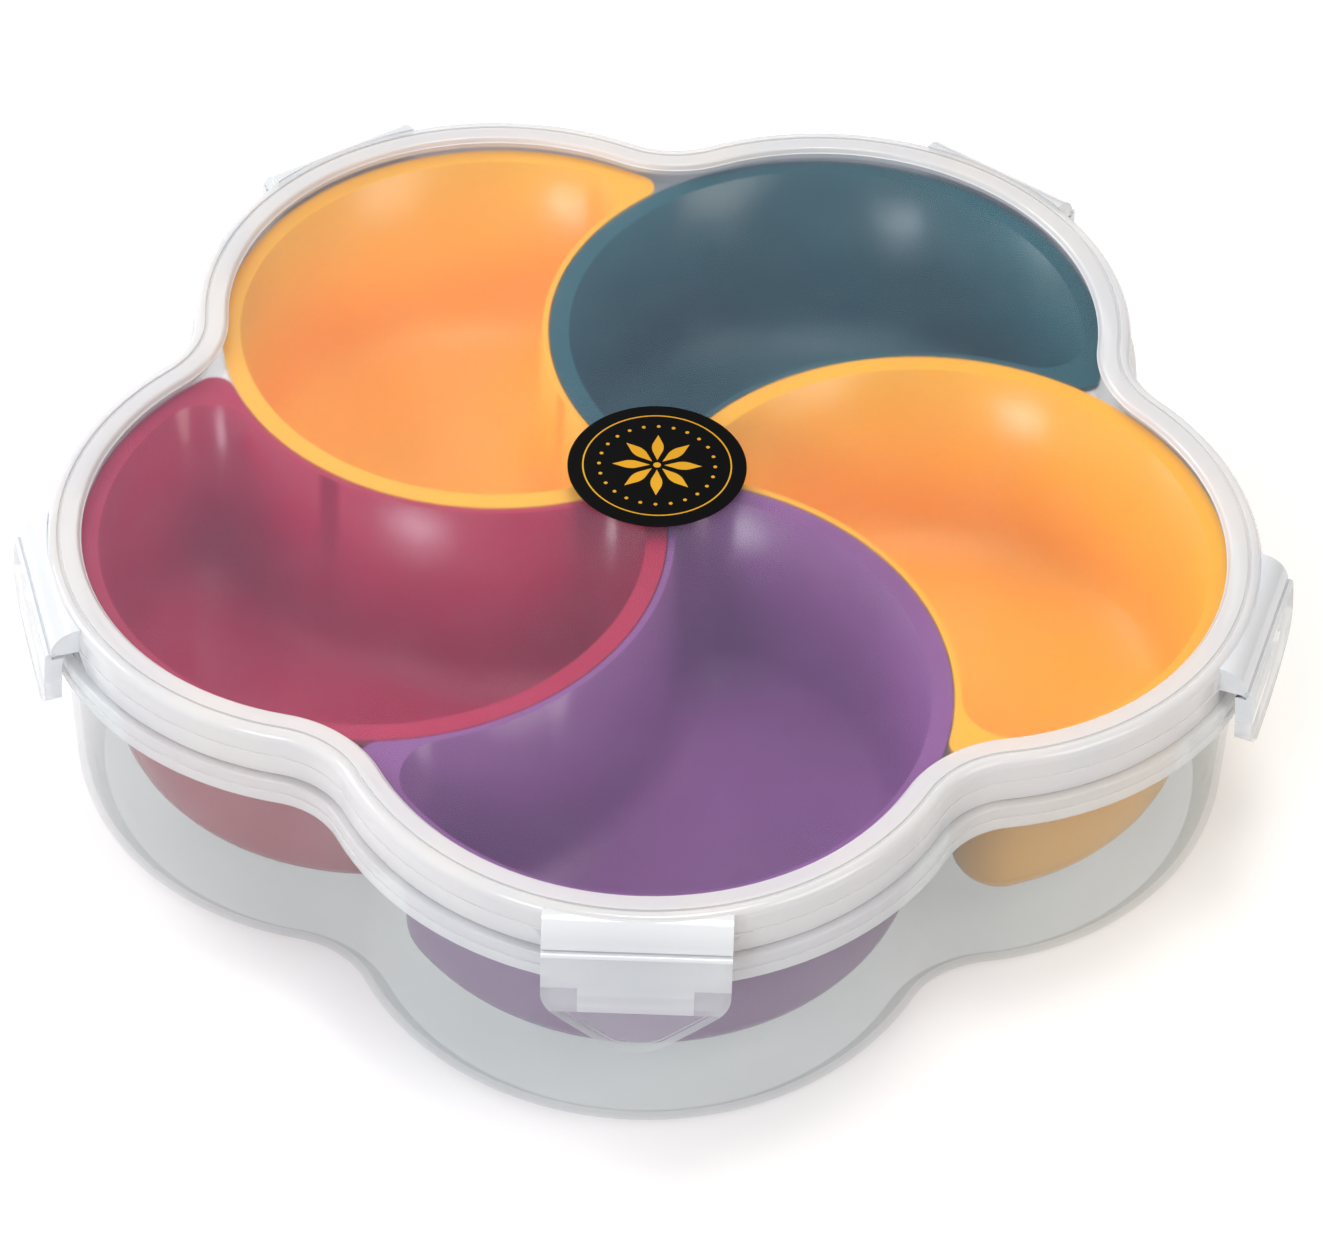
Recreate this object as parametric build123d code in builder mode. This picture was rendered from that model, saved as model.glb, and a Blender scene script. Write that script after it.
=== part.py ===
from build123d import *
from math import acos, asin, atan2, cos, degrees, radians, sin, sqrt
import os

# Flower-shaped spice box: a tub, a clip-on lid with five hinged latches, and five swirling trays.
# All sizes are in mm. The origin is the middle of the flat underside, +Z is up, the front lobe is at -Y.

# The plan of the flower. Every outline is parallel to the others: where a lobe's radius grows, the
# notch's radius shrinks by as much. The notch radius given here is the tub wall's.
lobe_names = ["front", "right", "back_right", "back_left", "left"]
lobes = len(lobe_names)
front_angle = -90.0
lobe_distance = 70.1
notch_radius = 24.0

# Tub
tub_radius = 71.0
tub_wall = 1.8
tub_floor = 2.0
tub_height = 68.0
tub_edge_round = 6.0
shelf_drop = 7.9
shelf_thickness = 1.4
flange_reach = 4.7
flange_wall = 1.5
flange_depth = 6.5
flange_step = 0.4
flange_step_drop = 3.1
ledge_reach = 5.0
ledge_thickness = 1.5

# Lid
panel_thickness = 1.5
panel_inset = 6.0
bead_rise = 1.3
bead_slope = 0.6
bead_round = 2.0
bead_inner_round = 0.5
bead_thickness = 1.5
groove_inset = 3.2
groove_width = 0.6
groove_depth = 0.5
skirt_wall = 1.2
skirt_step = 0.25
skirt_step_drop = 5.9
skirt_draft = 0.1
rim_side_gap = 0.9
plug_wall = 1.4
plug_depth = 3.1
plug_side_gap = 1.5
tray_head_gap = 0.9

# Seal ring in the lid's channel
seal_height = 2.1
seal_side_gap = 0.2
seal_round = 0.6

# Round label on the lid
label_radius = 21.0
label_thickness = 0.3

# Trays: each is one circle of the swirl less the circle of the tray before it
tray_hub_inset = 1.9
tray_seat = 3.6
tray_gap = 0.35
tray_flange_width = 3.2
tray_flange_thickness = 1.6
tray_wall = 1.5
tray_floor = 1.6
tray_depth = 54.0
tray_draft = 2.4
tray_tip_round = 5.0
tray_corner_round = 13.0
tray_bottom_round = 9.0
lip_width = 2.5
lip_thickness = 1.5
lip_tip_distance = 15.0
gate_radius = 1.6
gate_depth = 0.25

# Latches
latch_width = 40.1
latch_standoff = 1.2
crease_drop = 5.9
root_thickness = 0.8
root_drop = 0.3
latch_wall = 1.5
latch_bulge = 1.2
latch_tip_lean = 0.3
latch_bulge_drop = 12.4
latch_shoulder_drop = 14.4
latch_point_drop = 32.9
latch_shoulder_round = 8.0
latch_tip_round = 13.0
latch_return_depth = 2.6
latch_rim_depth = 1.0
latch_rim_width = 1.4
ridge_width = 24.0
ridge_height = 3.3
ridge_bite = 1.0
ridge_edge = 1.1
film_thickness = 0.45
hinge_gap = 0.6

# Clearances between pieces
seat_gap = 0.3
film_gap = 0.02

# Worked out from the sizes above
pitch = 360 / lobes
half_pitch = pitch / 2
lobe_notch_sum = tub_radius + notch_radius
hub_side = lobe_distance * sin(radians(half_pitch))
notch_distance = lobe_distance * cos(radians(half_pitch)) + sqrt(lobe_notch_sum**2 - hub_side**2)
notch_half = degrees(asin(hub_side / lobe_notch_sum))
lobe_half = notch_half + half_pitch
lobe_hub = (lobe_distance, 0)
notch_hub = (
    notch_distance * cos(radians(half_pitch)),
    notch_distance * sin(radians(half_pitch)),
)

tub_inside = tub_radius - tub_wall
flange_radius = tub_radius + flange_reach
flange_inside = flange_radius - flange_wall
shelf_top = tub_height - shelf_drop
shelf_underside = shelf_top - shelf_thickness
flange_bottom = shelf_top - flange_depth
flange_step_height = shelf_top - flange_step_drop
ledge_radius = tub_inside - ledge_reach
rim_gap_top = tub_height + seat_gap + seal_height
bead_top = rim_gap_top + bead_thickness
panel_radius = tub_radius - panel_inset
panel_top = bead_top - bead_rise
panel_underside = panel_top - panel_thickness
skirt_inside = tub_radius + rim_side_gap
skirt_outside = skirt_inside + skirt_wall
skirt_bottom = shelf_top + seat_gap
skirt_step_height = bead_top - skirt_step_drop
groove_radius = skirt_outside - groove_inset
plug_outside = tub_inside - plug_side_gap
plug_inside = plug_outside - plug_wall
plug_bottom = rim_gap_top - plug_depth
tray_top = plug_bottom - tray_head_gap
tray_flange_underside = tray_top - tray_flange_thickness
ledge_top = tray_flange_underside - seat_gap
ledge_underside = ledge_top - ledge_thickness
tray_underside = tray_top - tray_depth
lip_top = tray_flange_underside - seat_gap
tray_distance = lobe_distance - tray_hub_inset
tray_radius = ledge_radius + tray_seat
crease_distance = lobe_distance + flange_radius + latch_standoff
crease_height = bead_top - crease_drop
hinge_round = latch_wall / 2
hinge_x = crease_distance + hinge_round - seat_gap
hinge_z = crease_height - hinge_round


def flower(radius):
    """Draws the closed flower outline whose lobes have the given radius."""
    notch = lobe_notch_sum - radius
    for number in range(lobes):
        turn = front_angle + number * pitch
        lobe = Vector(*lobe_hub).rotate(Axis.Z, turn)
        hollow = Vector(*notch_hub).rotate(Axis.Z, turn)
        CenterArc(lobe, radius, turn - lobe_half, 2 * lobe_half)
        CenterArc(hollow, notch, turn + half_pitch + 180 + notch_half, -2 * notch_half)


def flower_disc(radius, bottom, top):
    """A flat solid with the flower outline."""
    with BuildPart() as disc:
        with BuildSketch(Plane.XY.offset(bottom)):
            with BuildLine():
                flower(radius)
            make_face()
        extrude(amount=top - bottom)
    return disc.part


def flower_ring(points, rounds):
    """A closed ring that carries one section, points of (lobe radius, height), round the flower."""
    with BuildPart() as petal:
        for side, hub, sweep_angle in (
            (-lobe_half, lobe_hub, 2 * lobe_half),
            (lobe_half, notch_hub, -2 * notch_half),
        ):
            out = Vector(1, 0, 0).rotate(Axis.Z, side)
            across = out.cross(Vector(0, 0, 1))
            with BuildSketch(Plane(origin=lobe_hub, x_dir=out, z_dir=across)) as section:
                with BuildLine():
                    Polyline(*points, close=True)
                make_face()
                for corner, size in rounds:
                    fillet(section.vertices().sort_by_distance((*corner, 0))[0], size)
            revolve(section.sketch, axis=Axis((*hub, 0), (0, 0, 1)), revolution_arc=sweep_angle)
    with BuildPart() as ring:
        with PolarLocations(0, lobes, front_angle):
            add(petal.part)
    return ring.part


def turned(shape, angle):
    """A copy of a shape that was made at angle 0, turned about the box's middle."""
    with BuildPart() as copy:
        with Locations(Location((0, 0, 0), (0, 0, angle))):
            add(shape)
    return copy.part


# Tub: floor, wall with a rounded foot, inner ledge for the trays, and the turned-down catch flange
floor_inside = tub_inside - 2 * tub_edge_round
tub_section = [
    (floor_inside, 0),
    (tub_radius, 0),
    (tub_radius, shelf_underside),
    (flange_inside, shelf_underside),
    (flange_inside, flange_bottom),
    (flange_radius, flange_bottom),
    (flange_radius, flange_step_height),
    (flange_radius - flange_step, flange_step_height),
    (flange_radius - flange_step, shelf_top),
    (tub_radius, shelf_top),
    (tub_radius, tub_height),
    (tub_inside, tub_height),
    (tub_inside, ledge_top),
    (ledge_radius, ledge_top),
    (ledge_radius, ledge_underside),
    (tub_inside, ledge_underside),
    (tub_inside, tub_floor),
    (floor_inside, tub_floor),
]
tub_rounds = [
    ((tub_radius, 0), tub_edge_round),
    ((tub_inside, tub_floor), tub_edge_round - tub_wall),
]
tub_ring = flower_ring(tub_section, tub_rounds)
tub_disc = flower_disc(floor_inside, 0, tub_floor)
with BuildPart() as tub:
    add(tub_ring)
    add(tub_disc)
tub.part.label = "tub"

# Lid: panel, raised bead with a fine groove, skirt outside the rim, plug wall inside it, latch roots
panel_inside = panel_radius - 2 * panel_thickness
groove_half = groove_width / 2
lid_section = [
    (panel_inside, panel_top),
    (panel_radius, panel_top),
    (panel_radius + bead_slope, bead_top),
    (groove_radius - groove_half, bead_top),
    (groove_radius - groove_half, bead_top - groove_depth),
    (groove_radius + groove_half, bead_top - groove_depth),
    (groove_radius + groove_half, bead_top),
    (skirt_outside - skirt_draft, bead_top),
    (skirt_outside, skirt_step_height),
    (skirt_outside + skirt_step, skirt_step_height),
    (skirt_outside + skirt_step, skirt_bottom),
    (skirt_inside, skirt_bottom),
    (skirt_inside, rim_gap_top),
    (plug_outside, rim_gap_top),
    (plug_outside, plug_bottom),
    (plug_inside, plug_bottom),
    (plug_inside, panel_underside),
    (panel_inside, panel_underside),
]
lid_rounds = [
    ((panel_radius + bead_slope, bead_top), bead_inner_round),
    ((skirt_outside - skirt_draft, bead_top), bead_round),
]
lid_ring = flower_ring(lid_section, lid_rounds)
lid_disc = flower_disc(panel_inside, panel_underside, panel_top)

# Latch root: a wedge from the bead's edge to the crease, its top curving down to the fold line
half_width = latch_width / 2
root_back = lobe_distance + sqrt((skirt_outside - skirt_draft) ** 2 - half_width**2)
root_run = crease_distance - root_back
root_top = bead_top - root_drop
root_fall = root_top - crease_height
root_curve = (root_run**2 + root_fall**2) / (2 * root_fall)
root_bend = 2 * degrees(atan2(root_fall, root_run))
root_underside = crease_height - root_thickness
with BuildPart() as root:
    with BuildSketch(Plane.XZ.offset(-half_width)):
        with BuildLine():
            CenterArc((root_back, root_top - root_curve), root_curve, 90 - root_bend, root_bend)
            Polyline(
                (crease_distance, crease_height),
                (crease_distance, root_underside),
                (lobe_distance, root_underside),
                (lobe_distance, root_top),
                (root_back, root_top),
            )
        make_face()
    extrude(amount=latch_width)
    with Locations((lobe_distance, 0, 0)):
        Cylinder(
            skirt_outside - skirt_wall / 2,
            bead_top,
            align=(Align.CENTER, Align.CENTER, Align.MIN),
            mode=Mode.SUBTRACT,
        )
    with Locations(Plane(origin=(hinge_x, 0, hinge_z), z_dir=(0, 1, 0))):
        Cylinder(hinge_round + hinge_gap, latch_width, mode=Mode.SUBTRACT)

with BuildPart() as lid:
    add(lid_ring)
    add(lid_disc)
    with PolarLocations(0, lobes, front_angle):
        add(root.part)
lid.part.label = "lid"

# Seal ring, seated in the top of the lid's channel and just over the tub's rim
seal_inside = plug_outside + seal_side_gap
seal_outside = skirt_inside - seal_side_gap
seal_bottom = rim_gap_top - seal_height
seal_section = [
    (seal_inside, rim_gap_top),
    (seal_inside, seal_bottom),
    (seal_outside, seal_bottom),
    (seal_outside, rim_gap_top),
]
seal_rounds = [
    ((seal_inside, seal_bottom), seal_round),
    ((seal_outside, seal_bottom), seal_round),
]
seal_ring = flower_ring(seal_section, seal_rounds)
with BuildPart() as seal:
    add(seal_ring)
seal.part.label = "seal_ring"

# Label disc, flat on the middle of the lid
with BuildPart() as label_disc:
    with BuildSketch(Plane.XY.offset(panel_top)):
        Circle(label_radius)
    extrude(amount=label_thickness)
label_disc.part.label = "label_disc"

# Tray, made with its own circle at angle 0 and the circle that bites it one pitch back
bite_hub = (
    tray_distance * cos(radians(pitch)),
    -tray_distance * sin(radians(pitch)),
)
bite_radius = tray_radius + tray_gap
wall_radius = tray_radius - tray_flange_width
hub_gap = 2 * tray_distance * sin(radians(half_pitch))
bite_half = degrees(acos(hub_gap / 2 / tray_radius))
lip_half = bite_half - degrees(lip_tip_distance / tray_radius)
lip_heading = 90 - half_pitch
gate_place = Vector(*bite_hub) + Vector(1, 0, 0).rotate(Axis.Z, lip_heading) * (
    (bite_radius + hub_gap + tray_radius) / 2
)


def crescent(convex, concave, corner, height):
    """The outline of a tray at a height, with both tips rounded."""
    with BuildSketch(Plane.XY.offset(height)) as outline:
        with Locations((tray_distance, 0)):
            Circle(convex)
        with Locations(bite_hub):
            Circle(concave, mode=Mode.SUBTRACT)
        fillet(outline.vertices(), corner)
    return outline.sketch


def bowl(inset, bottom, bottom_round):
    """A tapering bowl shape: the tray's outside, or its inside when it is inset by the wall."""
    outline = crescent(
        wall_radius - inset,
        bite_radius + inset,
        tray_corner_round - inset,
        tray_top,
    )
    with BuildPart() as shape:
        extrude(outline, amount=tray_top - bottom, dir=(0, 0, -1), taper=tray_draft)
        fillet(shape.faces().sort_by(Axis.Z)[0].edges(), bottom_round)
    return shape.part


tray_outside = bowl(0, tray_underside, tray_bottom_round)
tray_inside = bowl(tray_wall, tray_underside + tray_floor, tray_bottom_round - tray_wall)
tray_flange = crescent(tray_radius, bite_radius, tray_tip_round, tray_flange_underside)
with BuildPart() as tray:
    add(tray_outside)
    extrude(tray_flange, amount=tray_flange_thickness)
    with BuildSketch(Plane.XY.offset(lip_top)) as lip:
        with BuildLine():
            for radius in (bite_radius - lip_width, bite_radius + tray_wall / 2):
                CenterArc(bite_hub, radius, lip_heading - lip_half, 2 * lip_half)
            for side in (-lip_half, lip_half):
                out = Vector(1, 0, 0).rotate(Axis.Z, lip_heading + side)
                Line(
                    Vector(*bite_hub) + out * (bite_radius - lip_width),
                    Vector(*bite_hub) + out * (bite_radius + tray_wall / 2),
                )
        make_face()
    extrude(amount=-lip_thickness)
    add(tray_inside, mode=Mode.SUBTRACT)
    with BuildSketch(Plane.XY.offset(tray_underside + tray_floor)):
        with Locations(gate_place):
            Circle(gate_radius)
    extrude(amount=-gate_depth, mode=Mode.SUBTRACT)

# Latch flap, made at angle 0: a bulging plate with turned-in sides, a rim and a catch ridge
plate_tip = crease_height - latch_point_drop
outer_top = (hinge_x + hinge_round, hinge_z)
outer_middle = (hinge_x + hinge_round + latch_bulge, crease_height - latch_bulge_drop)
outer_tip = (hinge_x + hinge_round + latch_tip_lean, plate_tip)
flange_edge = lobe_distance + sqrt(flange_radius**2 - (ridge_width / 2) ** 2)
ridge_top = flange_bottom - seat_gap


def shell_band(depth):
    """The flap's bulging plate at full width, with the given thickness, drawn from the side."""
    with BuildPart() as band:
        with BuildSketch(Plane.XZ.offset(-half_width)):
            with BuildLine():
                ThreePointArc(outer_top, outer_middle, outer_tip)
                Line(outer_tip, (outer_tip[0] - depth, outer_tip[1]))
                ThreePointArc(
                    (outer_tip[0] - depth, outer_tip[1]),
                    (outer_middle[0] - depth, outer_middle[1]),
                    (outer_top[0] - depth, outer_top[1]),
                )
                Line((outer_top[0] - depth, outer_top[1]), outer_top)
            make_face()
        extrude(amount=latch_width)
    return band.part


def shield(inset):
    """The flap seen from outside: straight sides, rounded shoulders and a rounded tip."""
    shoulder = crease_height - latch_shoulder_drop
    with BuildSketch(Plane(origin=(lobe_distance, 0, 0), x_dir=(0, 1, 0), z_dir=(1, 0, 0))) as face:
        with BuildLine():
            FilletPolyline(
                (-half_width, hinge_z),
                (-half_width, shoulder),
                (0, plate_tip),
                (half_width, shoulder),
                (half_width, hinge_z),
                radius=[latch_shoulder_round, latch_tip_round, latch_shoulder_round],
            )
            Line((-half_width, hinge_z), (half_width, hinge_z))
        make_face()
        if inset:
            offset(amount=-inset, mode=Mode.REPLACE)
    return face.sketch


shield_face = shield(0)
shield_window = shield(latch_rim_width)
plate_band = shell_band(latch_wall)
rim_band = shell_band(latch_wall + latch_rim_depth)
return_band = shell_band(latch_wall + latch_return_depth)
with BuildPart() as rim:
    add(rim_band)
    extrude(shield_window, amount=crease_distance, mode=Mode.SUBTRACT)
with BuildPart() as returns:
    add(return_band)
    with Locations((crease_distance, 0, hinge_z)):
        Box(
            crease_distance,
            latch_width - 2 * latch_wall,
            2 * latch_point_drop,
            mode=Mode.SUBTRACT,
        )
with BuildPart() as flap:
    add(plate_band)
    add(rim.part)
    add(returns.part)
    with Locations((0, 0, hinge_z - hinge_round - seat_gap)):
        Box(
            hinge_x + hinge_round - latch_wall,
            latch_width,
            crease_height,
            align=(Align.MIN, Align.CENTER, Align.MIN),
            mode=Mode.SUBTRACT,
        )
    with BuildSketch(Plane.XZ.offset(-ridge_width / 2)):
        with BuildLine():
            Polyline(
                (outer_middle[0] - latch_wall / 2, ridge_top),
                (flange_edge - ridge_bite, ridge_top),
                (flange_edge - ridge_bite, ridge_top - ridge_edge),
                (outer_middle[0] - latch_wall / 2, ridge_top - ridge_height),
                close=True,
            )
        make_face()
    extrude(amount=ridge_width)
    extrude(shield_face, amount=crease_distance, mode=Mode.INTERSECT)
    with Locations(Plane(origin=(hinge_x, 0, hinge_z), z_dir=(0, 1, 0))):
        Cylinder(hinge_round, latch_width)

# Hinge film, made at angle 0: the thin web that joins the flap's rounded top to the latch root
film_angle = degrees(film_thickness / (hinge_round + hinge_gap / 2))
film_inside = hinge_round + film_gap
film_outside = hinge_round + hinge_gap - film_gap
with BuildPart() as film:
    with BuildSketch(Plane.XZ.offset(-half_width)):
        with BuildLine():
            for radius in (film_inside, film_outside):
                CenterArc((hinge_x, hinge_z), radius, 180 - film_angle / 2, film_angle)
            for side in (-film_angle / 2, film_angle / 2):
                out = Vector(-1, 0, 0).rotate(Axis.Z, side)
                Line(
                    Vector(hinge_x, hinge_z) + out * film_inside,
                    Vector(hinge_x, hinge_z) + out * film_outside,
                )
        make_face()
    extrude(amount=latch_width)

# One tray, latch and hinge film for each lobe
os.makedirs("parts", exist_ok=True)
for node in (tub.part, lid.part, seal.part, label_disc.part):
    export_step(node, f"parts/{node.label}.step")
for number, name in enumerate(lobe_names):
    for kind, shape in (("tray", tray.part), ("latch", flap.part), ("hinge_film", film.part)):
        piece = turned(shape, front_angle + number * pitch)
        piece.label = f"{kind}_{name}"
        export_step(piece, f"parts/{piece.label}.step")
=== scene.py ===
from math import acos, asin, atan2, cos, pi, radians, sin, sqrt, tan

import bpy
from mathutils import Matrix, Vector


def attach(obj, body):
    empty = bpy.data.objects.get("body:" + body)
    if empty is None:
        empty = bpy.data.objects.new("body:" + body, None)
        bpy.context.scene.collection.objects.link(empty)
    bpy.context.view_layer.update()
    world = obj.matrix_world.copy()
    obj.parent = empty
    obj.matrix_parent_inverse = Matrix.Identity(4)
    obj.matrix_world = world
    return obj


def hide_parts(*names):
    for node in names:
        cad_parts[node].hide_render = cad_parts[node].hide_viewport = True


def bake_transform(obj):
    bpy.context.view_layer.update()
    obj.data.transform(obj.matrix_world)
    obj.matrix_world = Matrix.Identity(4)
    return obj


# Flower-shaped spice box: a frosted tub, a clear clip-on lid with five hinged latches, and five
# glossy trays that swirl round the middle. Sizes are in mm and become metres as they are drawn.
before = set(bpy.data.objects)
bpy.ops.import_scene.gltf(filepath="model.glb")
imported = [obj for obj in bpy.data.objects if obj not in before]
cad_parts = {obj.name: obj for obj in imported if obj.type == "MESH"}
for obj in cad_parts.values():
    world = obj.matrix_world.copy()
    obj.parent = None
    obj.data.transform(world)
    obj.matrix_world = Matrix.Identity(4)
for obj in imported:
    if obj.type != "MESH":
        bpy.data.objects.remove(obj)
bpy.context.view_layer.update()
bpy.ops.object.select_all(action="DESELECT")

MM = 0.001
UP = Vector((0, 0, 1))
# Vertices closer than TOUCH are merged. Places closer than NEAR, in mm, count as the same place
TOUCH = 0.002 * MM
NEAR = 0.01

# The plan of the flower: every outline is parallel to the others, so a lobe's radius names it
lobe_names = ["front", "right", "back_right", "back_left", "left"]
lobes = len(lobe_names)
front_angle = radians(-90)
pitch = 2 * pi / lobes
lobe_distance = 70.1
tub_radius = 71.0
notch_radius = 24.0
lobe_notch_sum = tub_radius + notch_radius
hub_side = lobe_distance * sin(pitch / 2)
notch_distance = lobe_distance * cos(pitch / 2) + sqrt(lobe_notch_sum**2 - hub_side**2)
notch_half = asin(hub_side / lobe_notch_sum)
lobe_half = notch_half + pitch / 2
lobe_steps = 40
notch_steps = 18

# Tub
tub_wall = 1.8
tub_floor = 2.0
tub_height = 68.0
tub_edge_round = 6.0
shelf_top = tub_height - 7.9
shelf_underside = shelf_top - 1.4
flange_radius = tub_radius + 4.7
flange_inside = flange_radius - 1.5
flange_bottom = shelf_top - 6.5
flange_step = 0.4
flange_step_height = shelf_top - 3.1
tub_inside = tub_radius - tub_wall
ledge_radius = tub_inside - 5.0
ledge_thickness = 1.5
ledge_round = 0.4
rim_round = 0.6
flange_round = 0.6
flange_inside_round = 0.5
flange_step_round = 0.3

# Lid
seat_gap = 0.3
seal_height = 2.1
seal_gap = 0.2
seal_round = 0.6
rim_gap_top = tub_height + seat_gap + seal_height
bead_top = rim_gap_top + 1.5
panel_radius = tub_radius - 6.0
panel_thickness = 1.5
panel_top = bead_top - 1.3
panel_underside = panel_top - panel_thickness
panel_round = 0.3
bead_slope = 0.6
bead_inside_round = 0.5
bead_outside_round = 2.0
skirt_wall = 1.2
skirt_inside = tub_radius + 0.9
skirt_outside = skirt_inside + skirt_wall
skirt_lean = 0.1
skirt_bottom = shelf_top + seat_gap
skirt_step = 0.25
skirt_step_height = bead_top - 5.9
skirt_step_round = 0.15
skirt_outside_round = 0.4
skirt_inside_round = 0.3
groove_radius = skirt_outside - 3.2
groove_half = 0.4
groove_depth = 0.6
groove_round = 0.12
plug_outside = tub_inside - 1.5
plug_inside = plug_outside - 1.4
plug_bottom = rim_gap_top - 3.1
plug_round = 0.5

# Trays
tray_top = plug_bottom - 0.9
tray_flange_underside = tray_top - 1.6
tray_underside = tray_top - 54.0
tray_distance = lobe_distance - 1.9
tray_radius = ledge_radius + 3.6
bite_radius = tray_radius + 0.35
tray_wall_radius = tray_radius - 3.2
tray_wall = 1.5
tray_floor = 1.6
tray_draft = radians(2.4)
tray_tip_round = 5.0
tray_corner_round = 13.0
tray_bottom_round = 9.0
tray_flange_thickness = tray_top - tray_flange_underside
tray_recess = 0.3
tray_steps = 72
bite_steps = 36
tip_steps = 14
lip_radius = bite_radius - 2.5
lip_top = tray_flange_underside - 0.3
lip_underside = lip_top - 1.5
lip_half = radians(41.1)
# The small round mark that the mould's gate leaves in a tray's floor
gate_distance = 108.1
gate_radius = 1.6
gate_depth = 0.25

# Latches
latch_width = 40.1
half_width = latch_width / 2
crease_distance = lobe_distance + flange_radius + 1.2
crease_height = bead_top - 5.9
root_drop = 0.3
root_edge = 0.8
latch_wall = 1.5
hinge_round = latch_wall / 2
hinge_gap = 0.6
hinge_x = crease_distance + hinge_round - seat_gap
hinge_z = crease_height - hinge_round
latch_bulge = 1.2
latch_tip_lean = 0.3
bulge_height = crease_height - 12.4
shoulder_height = crease_height - 14.4
plate_tip = crease_height - 32.9
shoulder_round = 8.0
tip_round = 9.5
return_depth = 2.6
rim_depth = 0.5
rim_width = 0.8
ridge_width = 24.0
ridge_height = 3.3
ridge_bite = 1.0
ridge_edge = 1.1
ridge_top = flange_bottom - seat_gap
ridge_bottom = ridge_top - ridge_height
# Below this height the flap's plastic is thin beside the ridge
sheer_top = ridge_bottom + 8.0
# The film reaches into the root by its bite and into the flap's round top by its reach. It is
# cut across at these shares of its width
film_bite = 0.12
film_reach = 0.5
film_drop = 0.1
film_height = 0.9
film_round = 0.1
film_cuts = (0.35, 0.5, 0.65)

# Label
label_radius = 21.0
label_thickness = 0.3
ink_thickness = 0.05
pods = 8
pod_start = 1.7
pod_waist = 6.2
pod_reach = 10.5
pod_half = 1.7
pod_curve = 4.0
pod_turn = atan2(pod_half, pod_waist - pod_start) + atan2(pod_half, pod_reach - pod_waist)
middle_radius = 0.9
dot_radius = 0.45
dot_ring = 13.6
dots = 24
line_ring = 17.2
line_width = 0.35


def around(angle, distance, height=0.0):
    """The place at an angle round the box's middle, in mm."""
    return Vector((distance * cos(angle), distance * sin(angle), height))


def lobe_turn(place):
    """The angle from the middle line of the lobe that a place is on."""
    return (atan2(place.y, place.x) - front_angle + pitch / 2) % pitch - pitch / 2


def flower_reach(place):
    """The lobe radius of the outline that runs through a place."""
    turn = lobe_turn(place)
    flat = place.xy.length * Vector((cos(turn), sin(turn)))
    from_hub = flat - Vector((lobe_distance, 0))
    if abs(atan2(from_hub.y, from_hub.x)) <= lobe_half:
        return from_hub.length
    notch = notch_distance * Vector((cos(pitch / 2), sin(pitch / 2) * (1 if turn > 0 else -1)))
    return lobe_notch_sum - (flat - notch).length


def select_only(piece):
    """Selects one finished piece and makes it the active one."""
    bpy.ops.object.select_all(action="DESELECT")
    bpy.context.view_layer.objects.active = piece
    piece.select_set(True)


def new_piece(name, place):
    """A new piece in edit mode, with one vertex to draw from."""
    bpy.ops.object.select_all(action="DESELECT")
    bpy.ops.mesh.primitive_plane_add(size=MM, location=place * MM)
    piece = bpy.context.object
    piece.name = piece.data.name = name
    bpy.ops.object.transform_apply(location=True)
    bpy.ops.object.mode_set(mode="EDIT")
    bpy.ops.mesh.select_mode(type="VERT")
    bpy.ops.mesh.merge(type="CENTER")
    return piece


def extrude(offset):
    """Extrudes what is selected by an offset in metres."""
    bpy.ops.mesh.extrude_region_move(TRANSFORM_OT_translate={"value": offset})


def draw_face(name, corners):
    """A new piece that is one flat face, drawn from corner to corner."""
    piece = new_piece(name, corners[0])
    for start, end in zip(corners, corners[1:] + corners[:1]):
        extrude((end - start) * MM)
    bpy.ops.mesh.select_all(action="SELECT")
    bpy.ops.mesh.remove_doubles(threshold=TOUCH)
    bpy.ops.mesh.edge_face_add()
    return piece


def pick(piece, wanted):
    """Selects the vertices whose place in mm is wanted, and nothing else."""
    bpy.ops.mesh.select_all(action="DESELECT")
    bpy.ops.object.mode_set(mode="OBJECT")
    for vertex in piece.data.vertices:
        vertex.select = bool(wanted(vertex.co / MM))
    bpy.ops.object.mode_set(mode="EDIT")


def round_corner(piece, corner, radius, segments=5, turn=pi / 2):
    """Rounds the corner of a drawn face to a radius in mm, where its outline turns by an angle."""
    pick(piece, lambda place: (place - corner).length < NEAR)
    offset = radius * tan(turn / 2) * MM
    bpy.ops.mesh.bevel(offset=offset, offset_type="OFFSET", segments=segments, affect="VERTICES")


def turn_about(hub, angle, steps):
    """Spins what is selected about an upright axis, counter-clockwise seen from above."""
    bpy.ops.mesh.spin(steps=steps, angle=-angle, center=hub * MM, axis=UP)


def close_up(piece, smooth_angle=35):
    """Ends the editing of a closed piece: merged, facing outwards and smoothly shaded."""
    bpy.ops.mesh.select_all(action="SELECT")
    bpy.ops.mesh.remove_doubles(threshold=TOUCH)
    bpy.ops.mesh.select_all(action="SELECT")
    bpy.ops.mesh.normals_make_consistent(inside=False)
    bpy.ops.object.mode_set(mode="OBJECT")
    bpy.ops.object.shade_smooth_by_angle(angle=radians(smooth_angle))
    return piece


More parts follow.
